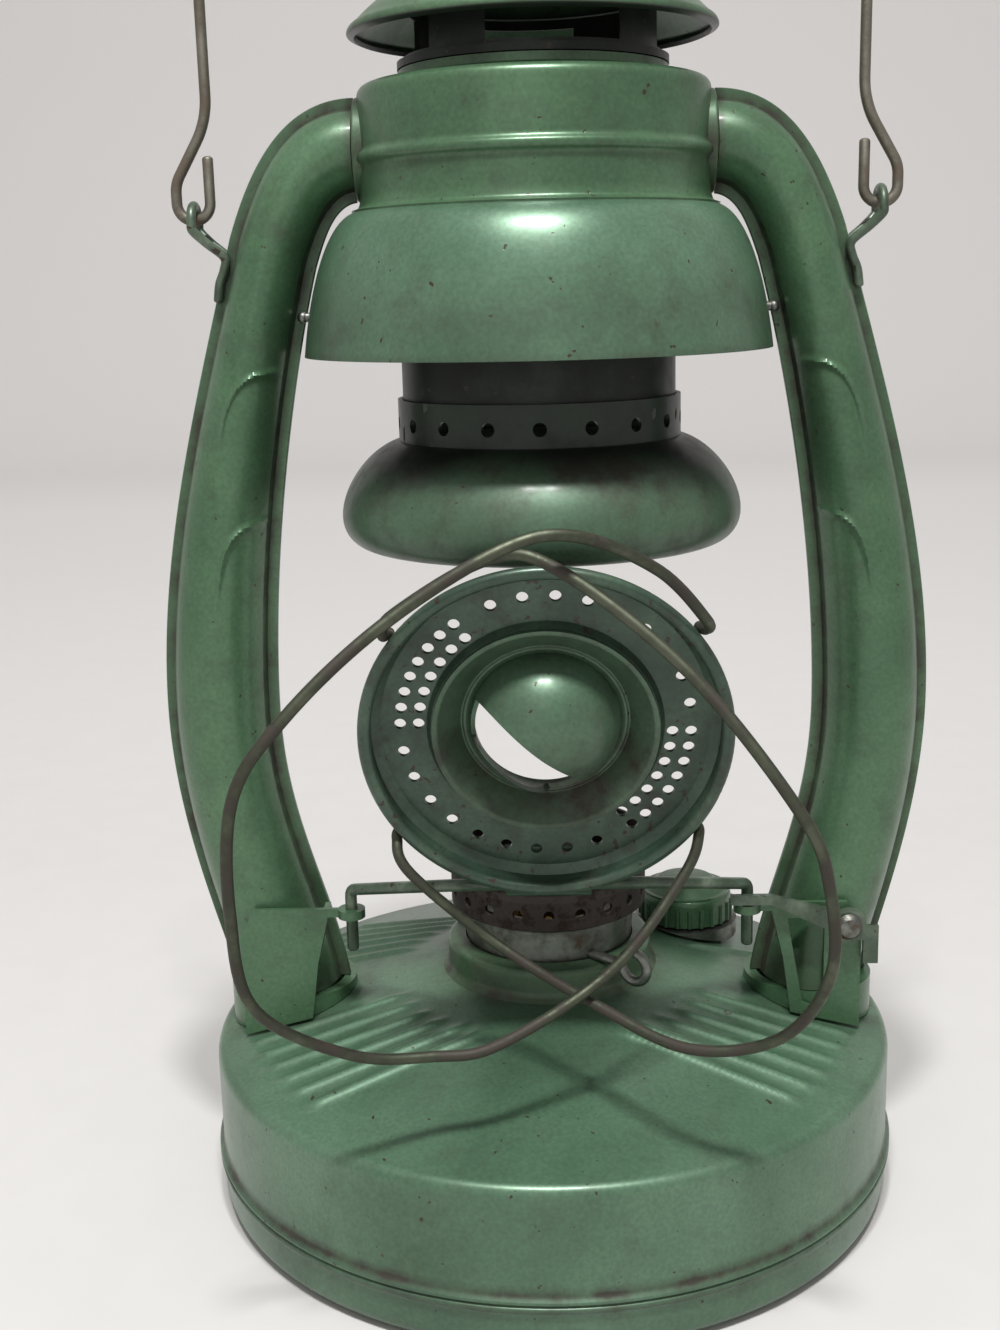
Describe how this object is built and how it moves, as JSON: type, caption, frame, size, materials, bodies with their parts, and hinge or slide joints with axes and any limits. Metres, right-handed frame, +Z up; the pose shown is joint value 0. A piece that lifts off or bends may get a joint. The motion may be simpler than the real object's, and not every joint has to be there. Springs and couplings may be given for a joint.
{
  "type": "hurricane lantern",
  "caption": "Tubular hurricane lantern in green enamel with a fount, flat-wick burner, lifting chimney, tipping globe plate with wire guard, and a wire bail.",
  "frame": {"origin": "centre of the fount's underside, on the surface it stands on", "axes": "+Z up along the chimney, -Y towards the side the globe plate tips to, +X to the lift lever"},
  "size_m": [0.1548, 0.161, 0.3186],
  "materials": {
    "green_enamel": "gloss enamel, worn",
    "worn_enamel": "thin worn enamel",
    "sooted_enamel": "sooted enamel",
    "tinned_steel": "dull tin",
    "rusted_steel": "rusted",
    "weathered_wire": "weathered",
    "burner_brass": "tarnished",
    "cotton_wick": "woven",
    "cork_rubber": "matte"
  },
  "bodies": {
    "lantern": {"fount_body": "green_enamel", "fount_bottom": "green_enamel", "burner_collar": "green_enamel", "filler_neck": "tinned_steel", "burner_base": "tinned_steel", "burner_gallery": "rusted_steel", "wick_tube": "burner_brass", "left_tube_front": "green_enamel", "left_tube_back": "green_enamel", "right_tube_front": "green_enamel", "right_tube_back": "green_enamel", "left_foot": "green_enamel", "right_foot": "green_enamel", "crown_cup": "green_enamel", "canopy_bell": "green_enamel", "canopy_pins": "tinned_steel", "chimney_clip": "tinned_steel", "left_bracket": "green_enamel", "right_bracket": "green_enamel", "lever_pin": "tinned_steel", "left_bail_ear": "worn_enamel", "right_bail_ear": "worn_enamel"},
    "chimney": {"chimney_tube": "sooted_enamel", "hood_cap": "green_enamel", "globe_cap": "green_enamel"},
    "lift": {"lift_frame": "worn_enamel"},
    "plate": {"globe_plate": "green_enamel", "burner_cone": "worn_enamel", "plate_hinge": "green_enamel", "left_guard_wire": "weathered_wire", "right_guard_wire": "weathered_wire"},
    "lever": {"lift_lever": "tinned_steel"},
    "bail": {"bail_wire": "weathered_wire"},
    "winder": {"wick_winder": "tinned_steel", "winder_wheels": "burner_brass"},
    "wick_strip": {"wick": "cotton_wick"},
    "filler_seal": {"filler_gasket": "cork_rubber"},
    "filler_lid": {"filler_cap": "green_enamel"}
  },
  "joints": [
    {"name": "chimney_lift", "type": "slide", "parent": "lantern", "child": "chimney", "axis": [0, 0, 1], "range_m": [0, 0.018]},
    {"name": "globe_lift", "type": "slide", "parent": "lantern", "child": "lift", "axis": [0, 0, 1], "range_m": [0, 0.0065]},
    {"name": "plate_tip", "type": "hinge", "parent": "lift", "child": "plate", "pos_m": [0, -0.034, 0.0746], "axis": [1, 0, 0], "range_deg": [-8, 0]},
    {"name": "lever_turn", "type": "hinge", "parent": "lantern", "child": "lever", "pos_m": [0.06, -0.0154, 0.05758], "axis": [0, 1, 0], "range_deg": [0, 20]},
    {"name": "bail_swing", "type": "hinge", "parent": "lantern", "child": "bail", "pos_m": [0, 0, 0.1977], "axis": [1, 0, 0], "range_deg": [-90, 90]},
    {"name": "wick_turn", "type": "hinge", "parent": "lantern", "child": "winder", "pos_m": [-0.00398, -0.00475, 0.0522], "axis": [0.766, -0.6428, 0], "range_deg": [-100.5, 63]},
    {"name": "wick_feed", "type": "slide", "parent": "lantern", "child": "wick_strip", "axis": [0, 0, 1], "range_m": [-0.008, 0.005]},
    {"name": "filler_rise", "type": "slide", "parent": "lantern", "child": "filler_seal", "axis": [0, 0, 1], "range_m": [0, 0.005]},
    {"name": "filler_screw", "type": "hinge", "parent": "filler_seal", "child": "filler_lid", "pos_m": [0.03132, 0.02723, 0.048], "axis": [0, 0, 1], "range_deg": [0, 720]}
  ],
  "couplings": [
    {"joint": "lever_turn", "follows": "globe_lift", "rad_per_m": 50},
    {"joint": "wick_turn", "follows": "wick_feed", "rad_per_m": 217.39},
    {"joint": "filler_rise", "follows": "filler_screw", "m_per_rad": 0.00039789}
  ]
}
